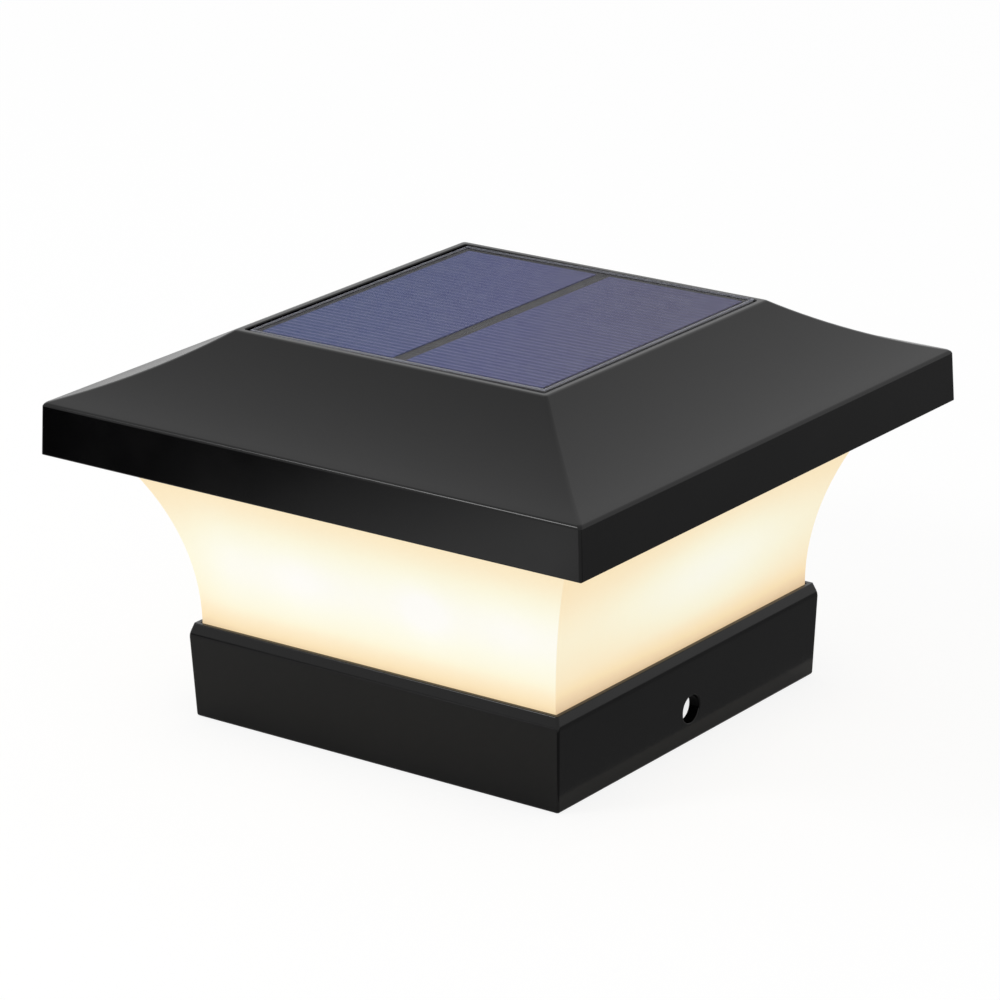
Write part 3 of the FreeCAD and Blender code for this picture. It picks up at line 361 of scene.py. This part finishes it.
LINE_PITCH, LINE_WIDTH = 2.1 * MM, 0.13
cells, tree, shader = new_finish("solar cells")
_, x, y, z = places(tree)
across = fade(tree, calc(tree, "ADD", x, calc(tree, "MULTIPLY", y, 0.6)), -60 * MM, 60 * MM)
tint = ramp(tree, across, ((0, (0.052, 0.084, 0.258)), (0.5, (0.078, 0.086, 0.262)),
                           (1, (0.112, 0.104, 0.205))))
step = calc(tree, "SUBTRACT", calc(tree, "FRACT", calc(tree, "DIVIDE", y, LINE_PITCH)), 0.5)
line = calc(tree, "EXPONENT", calc(tree, "MULTIPLY", calc(tree, "POWER", calc(
    tree, "DIVIDE", step, LINE_WIDTH), 2), -0.5))
line = calc(tree, "MULTIPLY", line, fade(tree, y, -35 * MM, 35 * MM, 0.65, 0.30))
blotch = calc(tree, "MULTIPLY", cloud(tree, 9 * MM), 0.12)
pale = tree.nodes.new("ShaderNodeMix")
pale.data_type = "RGBA"
tree.links.new(calc(tree, "ADD", line, blotch), pale.inputs[0])
tree.links.new(tint, pale.inputs[6])
pale.inputs[7].default_value = (0.20, 0.22, 0.42, 1)
tree.links.new(pale.outputs[2], shader.inputs["Base Color"])
tree.links.new(fade(tree, cloud(tree, 4 * MM), 0.3, 0.7, 0.40, 0.5), shader.inputs["Roughness"])
shader.inputs["Specular IOR Level"].default_value = 0.05

glaze, tree, shader = new_finish("clear layer")
_, x, y, z = places(tree)
# Painted highlight: within half a millimetre of the panel's edge the clear layer turns pale grey
# and less clear. This stands in for the light that the edge catches.
reach = calc(tree, "MAXIMUM", calc(tree, "ABSOLUTE", calc(tree, "SUBTRACT", x, PANEL_SHIFT)),
             calc(tree, "ABSOLUTE", y))
edge = fade(tree, reach, (PANEL_HALF - 0.45) * MM, (PANEL_HALF - 0.15) * MM)
tree.links.new(calc(tree, "ADD", calc(tree, "MULTIPLY", edge, 0.45), 0.10), shader.inputs["Alpha"])
tree.links.new(ramp(tree, edge, ((0, (0.05, 0.05, 0.06)), (1, (0.42, 0.43, 0.50)))),
               shader.inputs["Base Color"])
tree.links.new(fade(tree, cloud(tree, 3 * MM), 0.3, 0.7, 0.22, 0.32), shader.inputs["Roughness"])
shader.inputs["Specular IOR Level"].default_value = 0.4
print("finishes", backing.name, cells.name, glaze.name)

# %% Panel board, cells and clear layer
bm = bmesh.new()
panel_slab(bm, PANEL_HALF, board_low.z / MM, board_high.z / MM)
bmesh.ops.transform(bm, matrix=panel_seat, verts=bm.verts)
finish_piece("panel_plate", bm, "housing", backing, round_mm=0.3, round_steps=2,
             node=("panel_board",))

cell_low, cell_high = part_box("solar_cells")
CELL_STRIP = 4.2 * MM
bm = bmesh.new()
cell_size = (cell_high.x - CELL_STRIP / 2, cell_high.y * 2, cell_high.z - cell_low.z)
for side in (-1, 1):
    made = bmesh.ops.create_cube(bm, size=1)["verts"]
    bmesh.ops.scale(bm, vec=cell_size, verts=made)
    middle = Vector((side * (cell_high.x + CELL_STRIP / 2) / 2, 0, (cell_low.z + cell_high.z) / 2))
    bmesh.ops.translate(bm, vec=middle, verts=made)
bmesh.ops.transform(bm, matrix=panel_seat, verts=bm.verts)
finish_piece("panel_cells", bm, "housing", cells, node=("solar_cells",))

GLAZE_GAP = 0.05
bm = bmesh.new()
panel_slab(bm, PANEL_HALF, cover_low.z + GLAZE_GAP, cover_high.z)
bmesh.ops.transform(bm, matrix=panel_seat, verts=bm.verts)
finish_piece("panel_glaze", bm, "housing", glaze, round_mm=0.3, round_steps=3,
             node=("panel_cover",))

# %% [markdown]
# ## The glowing diffuser
#
# The diffuser is a milky moulding that flares upwards under the roof. Lamps on two small boards
# behind its front and rear faces light it, so these faces show three soft bright spots in a
# level band, and the side faces one broad glow. Real light through a milky wall is slow and
# noisy to render. The glow is drawn instead, as light that the surface gives off, from sums on
# the point's place: a bell curve over the height, times a bell curve along the face.

# %% Glow of the lit plastic
GLOW_HEIGHT = 42.5 * MM


def bell(tree, value, centre, spread):
    """A bell curve of a value, 1 at its centre."""
    offset = calc(tree, "DIVIDE", calc(tree, "SUBTRACT", value, centre), spread)
    square = calc(tree, "MULTIPLY", offset, offset)
    return calc(tree, "EXPONENT", calc(tree, "MULTIPLY", square, -0.5))


milky, tree, shader = new_finish("lit milky plastic")
_, x, y, z = places(tree)
across_front = calc(tree, "MULTIPLY", calc(tree, "MULTIPLY", x, calc(tree, "SIGN", y)), -1)
across_side = calc(tree, "MULTIPLY", y, calc(tree, "SIGN", x))
on_side = calc(tree, "GREATER_THAN", calc(tree, "ABSOLUTE", x), calc(tree, "ABSOLUTE", y))

front_band = calc(tree, "MULTIPLY", bell(tree, z, GLOW_HEIGHT, 11 * MM),
                  fade(tree, across_front, -58 * MM, -40 * MM, 0.50, 0.85))
spots = 0
for place, width, strength in ((17, 5, 0.22), (-20, 6, 0.12), (42, 5, 0.07)):
    spot = calc(tree, "MULTIPLY", bell(tree, across_front, place * MM, width * MM),
                bell(tree, z, GLOW_HEIGHT, 5.5 * MM))
    spots = calc(tree, "ADD", calc(tree, "MULTIPLY", spot, strength), spots)
front_glow = calc(tree, "ADD", front_band, spots)
side_bell = bell(tree, across_side, 8 * MM, 24 * MM)
side_level = calc(tree, "ADD", calc(tree, "MULTIPLY", side_bell, 0.42), 0.34)
side_glow = calc(tree, "MULTIPLY", bell(tree, z, GLOW_HEIGHT, 9.5 * MM), side_level)
by_face = tree.nodes.new("ShaderNodeMix")
for socket, value in zip((by_face.inputs[0], by_face.inputs[2], by_face.inputs[3]),
                         (on_side, front_glow, side_glow)):
    tree.links.new(value, socket)
near_collar = fade(tree, z, 24 * MM, 33 * MM, 0.30, 0)
glow = calc(tree, "SUBTRACT", by_face.outputs[0], near_collar)
glow = calc(tree, "ADD", glow, calc(tree, "MULTIPLY", cloud(tree, 3 * MM), 0.05))
GLOW_REACH = 1.3
glow = calc(tree, "DIVIDE", calc(tree, "ADD", glow, 0.3), GLOW_REACH, clamp=True)
AMBIENT = Vector((0.172, 0.163, 0.140))
stops = ((0.00, (0.74, 0.55, 0.37)), (0.23, (0.955, 0.77, 0.49)), (0.42, (0.965, 0.835, 0.59)),
         (0.62, (0.965, 0.92, 0.715)), (0.80, (0.968, 0.955, 0.81)), (1.00, (0.97, 0.96, 0.92)))
light = ramp(tree, glow, [(place, Vector(colour) - AMBIENT) for place, colour in stops])
tree.links.new(light, shader.inputs["Emission Color"])
shader.inputs["Emission Strength"].default_value = 1
# The base colour is a dim grey brown, far darker than milky plastic really is, because the painted
# glow gives the diffuser most of its brightness. The glow's colours have AMBIENT taken off for the
# light that this dim base colour still reflects.
wander = cloud(tree, 20 * MM)
tree.links.new(ramp(tree, wander, ((0.3, (0.25, 0.23, 0.195)), (0.7, (0.27, 0.25, 0.21)))),
               shader.inputs["Base Color"])
tree.links.new(fade(tree, wander, 0.3, 0.7, 0.38, 0.46), shader.inputs["Roughness"])
shader.inputs["Specular IOR Level"].default_value = 0.3
grain(tree, shader, 0.8 * MM, 0.003 * MM)
print("finish", milky.name)

# %% Diffuser moulding
shade_low, shade_high = (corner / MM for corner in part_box("diffuser"))
SHADE_FOOT, SHADE_BEND, SHADE_NECK = 53.45, 24.5, 71.2
SHADE_WALL, FLANGE = 2.0, 2.0
OUTER_STEPS, INNER_SHADE_STEPS = 18, 12
rise, flare = shade_high.z - FLANGE - SHADE_BEND, SHADE_NECK - SHADE_FOOT
SHADE_RADIUS = (rise ** 2 + flare ** 2) / (2 * flare)
INNER_RADIUS = SHADE_RADIUS + SHADE_WALL
inner_neck = SHADE_FOOT + SHADE_RADIUS - math.sqrt(INNER_RADIUS ** 2 - (rise + FLANGE) ** 2)
bend = (SHADE_FOOT, SHADE_BEND)
neck = (SHADE_NECK, shade_high.z - FLANGE)
inner_bend = (SHADE_FOOT - SHADE_WALL, SHADE_BEND)
outside = [(SHADE_FOOT, shade_low.z), bend, *arc(bend, neck, SHADE_RADIUS, OUTER_STEPS, -1)]
outside += [(shade_high.x, neck[1]), (shade_high.x, shade_high.z)]
inside = [(SHADE_FOOT - SHADE_WALL, shade_low.z), inner_bend]
inside += arc(inner_bend, (inner_neck, shade_high.z), INNER_RADIUS, INNER_SHADE_STEPS, -1)
bm = bmesh.new()
foot, flange = square_form(bm, outside, 0.6)
inner_foot, inner_top = square_form(bm, inside, 0)
bmesh.ops.bridge_loops(bm, edges=foot + inner_foot)
bmesh.ops.bridge_loops(bm, edges=flange + inner_top)
finish_piece("diffuser_shell", bm, "housing", milky, round_mm=0.4,
             node=("diffuser",))

# %% [markdown]
# ## The collar
#
# The collar is the black foot that slips over the post. Its walls widen slightly towards a
# shoulder, a chamfer leads from there to the rim, and the diffuser stands in a pocket inside
# the rim. A round hole in two opposite walls takes a wood screw. A Boolean would cut it, but it
# leaves long thin faces. Here a square patch is opened in the outer and the inner face of the
# wall, and a circle is drawn in each. The wall between square and circle is filled, and the two
# circles are bridged to make the bore, so the hole's lip can be rounded like any other edge.

# %% Collar moulding
collar_low, collar_high = (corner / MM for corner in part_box("base_collar"))
hole = frame["record"]["mounts"][0]
HOLE_RADIUS = hole["dims"]["r_mm"]
HOLE_HEIGHT = hole["pos_m"][2] / MM
COLLAR_FOOT, SHOULDER, RIM_HALF = 55.05, 21.7, 55.0
POCKET_HALF, LEDGE_HALF, SOCKET_HALF = 53.75, 47.0, 52.3
LEDGE_LOW, LEDGE_HIGH = 18.0, 20.0
PATCH = HOLE_RADIUS + 2.2
WALL_FROM, WALL_BELOW, CUT_BELOW, CUT_WITHIN = 50 * MM, 12 * MM, 16 * MM, 30 * MM
HOLE_SIDES = 32
WALL_MARGIN = 1.7 * MM

bm = bmesh.new()
profile = [(COLLAR_FOOT, 0), (collar_high.x, SHOULDER), (RIM_HALF, collar_high.z),
           (POCKET_HALF, collar_high.z), (POCKET_HALF, LEDGE_HIGH), (LEDGE_HALF, LEDGE_HIGH),
           (LEDGE_HALF, LEDGE_LOW), (SOCKET_HALF, LEDGE_LOW), (SOCKET_HALF, 0)]
foot_loop, rim_loop = square_form(bm, profile[:3], 1, {0: 1, 1: 1, 2: 0.35})
layer = bm.edges.layers.float["bevel_weight_edge"]
inner_top, inner_foot = square_form(bm, profile[3:], 0, {0: 0.25})
bmesh.ops.bridge_loops(bm, edges=rim_loop + inner_top)
bmesh.ops.bridge_loops(bm, edges=foot_loop + inner_foot)

walls = [face for face in bm.faces if abs(face.calc_center_median().x) > WALL_FROM
         and face.calc_center_median().z < WALL_BELOW and abs(face.normal.x) > 0.9]
for direction, along in ((Vector((0, 1, 0)), (-PATCH, PATCH)),
                         (Vector((0, 0, 1)), (HOLE_HEIGHT - PATCH, HOLE_HEIGHT + PATCH))):
    for place in along:
        walls = [face for face in walls if face.is_valid]
        cut = bmesh.ops.bisect_plane(
            bm, geom=walls + list({edge for face in walls for edge in face.edges}),
            plane_co=direction * place * MM, plane_no=direction)
        walls = [face for face in bm.faces if abs(face.calc_center_median().x) > WALL_FROM
                 and face.calc_center_median().z < CUT_BELOW and abs(face.normal.x) > 0.9
                 and abs(face.calc_center_median().y) < CUT_WITHIN]
        if direction.z:
            walls = [face for face in walls if abs(face.calc_center_median().y) < PATCH * MM]
print("collar walls cut", len(walls))

centre = Vector((0, 0, HOLE_HEIGHT)) * MM
for side in (1, -1):
    bores = []
    patches = [face for face in walls if face.is_valid and face.calc_center_median().x * side > 0
               and (face.calc_center_median() - centre).yz.length < 1 * MM]
    for patch in patches:
        edges = list(patch.edges)
        low, high = sorted(patch.verts, key=lambda vert: vert.co.z)[::3]
        wall_x, wall_z = low.co.x, low.co.z
        lean = (high.co.x - wall_x) / (high.co.z - wall_z)
        bmesh.ops.delete(bm, geom=[patch], context="FACES_ONLY")
        place = (Matrix.Translation((wall_x, 0, HOLE_HEIGHT * MM))
                 @ Matrix.Rotation(math.pi / 2, 4, "Y"))
        ring = bmesh.ops.create_circle(bm, segments=HOLE_SIDES,
                                       radius=HOLE_RADIUS * MM, matrix=place)["verts"]
        for vert in ring:
            vert.co.x += lean * (vert.co.z - wall_z)
        circle = list({edge for vert in ring for edge in vert.link_edges})
        bmesh.ops.triangle_fill(bm, edges=edges + circle, use_beauty=True)
        bores += circle
        if abs(wall_x) > SOCKET_HALF * MM + WALL_MARGIN:
            weigh(circle, layer, 0.5)
    bmesh.ops.bridge_loops(bm, edges=bores)
finish_piece("collar_body", bm, "housing", black_plastic,
             round_mm=EDGE_ROUND, node=("base_collar",))

# %% [markdown]
# ## Everything else
#
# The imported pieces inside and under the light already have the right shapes. They only get
# their finishes: each has its own two shades, gloss and grain, taken from what such pieces are
# made of, so that an opened light looks right too.

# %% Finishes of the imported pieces
STEEL = {"Metallic": 1.0}
FINISHES = {
    "black_deck_plastic": ((0.010, 0.010, 0.011), (0.016, 0.016, 0.017), (0.45, 0.58), 15, 0.8, {}),
    "button_plastic": ((0.030, 0.030, 0.032), (0.042, 0.042, 0.045), (0.45, 0.6), 4, 0.4, {}),
    "white_plastic": ((0.78, 0.78, 0.75), (0.84, 0.84, 0.82), (0.45, 0.6), 20, 0.8, {}),
    "foam_tape": ((0.018, 0.018, 0.018), (0.035, 0.035, 0.035), (0.85, 0.95), 2, 0.3, {}),
    "seal_rubber": ((0.012, 0.012, 0.013), (0.020, 0.020, 0.021), (0.6, 0.75), 5, 0.5, {}),
    "circuit_board": ((0.010, 0.075, 0.030), (0.016, 0.105, 0.045), (0.3, 0.42), 3, 0.6, {}),
    "light_board": ((0.74, 0.74, 0.72), (0.80, 0.80, 0.79), (0.35, 0.45), 4, 0.5, {}),
    "light_emitter": ((0.80, 0.55, 0.10), (0.88, 0.66, 0.18), (0.3, 0.4), 1, 0.2, {}),
    "component_black": ((0.012, 0.012, 0.013), (0.022, 0.022, 0.024), (0.5, 0.65), 3, 0.3, {}),
    "battery_wrap": ((0.020, 0.10, 0.055), (0.028, 0.13, 0.07), (0.22, 0.32), 10, 0.5, {}),
    "bright_steel": ((0.52, 0.52, 0.51), (0.62, 0.62, 0.60), (0.25, 0.38), 2, 0.15, STEEL),
    "spring_steel": ((0.46, 0.46, 0.44), (0.56, 0.56, 0.54), (0.3, 0.42), 3, 0.2, STEEL),
    "wire_insulation": ((0.30, 0.012, 0.010), (0.38, 0.02, 0.016), (0.4, 0.55), 4, 0.4, {}),
}
finishes = {slot: moulded(slot.replace("_", " "), dark, light, gloss, patch * MM, bumps * MM,
                          **sockets)
            for slot, (dark, light, gloss, patch, bumps, sockets) in FINISHES.items()}
for row in frame["record"]["subparts"]:
    node = frame["nodes"][row["node"]]
    if row["material_slot"] in finishes:
        node.data.materials.clear()
        node.data.materials.append(finishes[row["material_slot"]])
print("finishes", len(finishes))

# %% [markdown]
# ## Floor, backdrop and light
#
# The light stands on a plain white floor under a white sky, lit softly from all round, with one
# soft box high at the front left that draws the fine bright line along the skirt. The floor is
# white paint that takes the light's own soft shadow, lifted towards pure white where the camera
# looks at it. Glossy black shows mostly what stands round it, so two cards lie on the floor that
# only the gloss mirrors. The one in front lets the skirt fade to black towards the left, and the
# one on the right keeps that side dark, as in a studio.

# %% Floor and lights
FLOOR_HALF = 8
floor_mesh = bpy.data.meshes.new("floor")
bm = bmesh.new()
bmesh.ops.create_grid(bm, x_segments=1, y_segments=1, size=FLOOR_HALF)
bm.to_mesh(floor_mesh)
bm.free()
floor = bpy.data.objects.new("floor", floor_mesh)
scene.collection.objects.link(floor)


def seen_directly(tree, glossy):
    """1 where the camera or glass looks, and the given share in a mirrored view."""
    path = tree.nodes.new("ShaderNodeLightPath").outputs
    mirrored = calc(tree, "MULTIPLY", path["Is Glossy Ray"], glossy)
    seen = calc(tree, "MAXIMUM", path["Is Camera Ray"], path["Is Transmission Ray"])
    return calc(tree, "MAXIMUM", seen, mirrored)


paint, tree, shader = new_finish("white floor")
shader.inputs["Base Color"].default_value = (0.80, 0.80, 0.80, 1)
shader.inputs["Roughness"].default_value = 0.9
shader.inputs["Specular IOR Level"].default_value = 0
lift = tree.nodes.new("ShaderNodeEmission")
lift.inputs["Strength"].default_value = 1.12
mix = tree.nodes.new("ShaderNodeMixShader")
tree.links.new(calc(tree, "MULTIPLY", seen_directly(tree, 0.1), 0.75), mix.inputs[0])
tree.links.new(shader.outputs[0], mix.inputs[1])
tree.links.new(lift.outputs[0], mix.inputs[2])
tree.links.new(mix.outputs[0], tree.nodes["Material Output"].inputs[0])
floor_mesh.materials.append(paint)

SKY_LIGHT = 0.70
world = bpy.data.worlds.new("white sky")
world.use_nodes = True
scene.world = world
tree = world.node_tree
sky = tree.nodes["Background"]
sky.inputs["Color"].default_value = (1, 1, 1, 1)
seen = seen_directly(tree, 1)
tree.links.new(calc(tree, "ADD", calc(tree, "MULTIPLY", seen, 1 - SKY_LIGHT), SKY_LIGHT),
               sky.inputs["Strength"])


def soft_box(name, place, size, power):
    """A square lamp that faces the middle of the object."""
    lamp = bpy.data.objects.new(name, bpy.data.lights.new(name, "AREA"))
    lamp.data.size = size
    lamp.data.energy = power
    scene.collection.objects.link(lamp)
    lamp.location = place
    lamp.rotation_euler = (Vector((0, 0, 0.05)) - Vector(place)).to_track_quat("-Z", "Y").to_euler()
    return lamp


soft_box("front_left_box", (-0.65, -0.87, 0.85), 0.3, 3.0)


def mirror_card(name, low, high, ends, dark, bright):
    """A card flat on the floor that only the gloss mirrors; its glow fades along x."""
    material = bpy.data.materials.new(name)
    material.use_nodes = True
    tree = material.node_tree
    glow = tree.nodes.new("ShaderNodeEmission")
    tree.links.new(fade(tree, places(tree)[1], *ends, dark, bright), glow.inputs["Strength"])
    tree.links.new(glow.outputs[0], tree.nodes["Material Output"].inputs[0])
    bm = bmesh.new()
    corners = bmesh.ops.create_grid(bm, x_segments=1, y_segments=1, size=0.5)["verts"]
    low, high = (Vector((*place, 0.5 * MM)) for place in (low, high))
    bmesh.ops.scale(bm, verts=corners, vec=high - low)
    bmesh.ops.translate(bm, verts=corners, vec=(low + high) / 2)
    mesh = bpy.data.meshes.new(name)
    bm.to_mesh(mesh)
    bm.free()
    mesh.materials.append(material)
    card = bpy.data.objects.new(name, mesh)
    scene.collection.objects.link(card)
    card.visible_camera = card.visible_diffuse = card.visible_shadow = False


mirror_card("front_card", (-0.80, -0.50), (-0.05, -0.17), (-0.22, -0.05), 0, 1.55)
mirror_card("right_card", (0.06, -0.10), (0.60, 0.60), (0.1, 0.6), 0.24, 0.45)
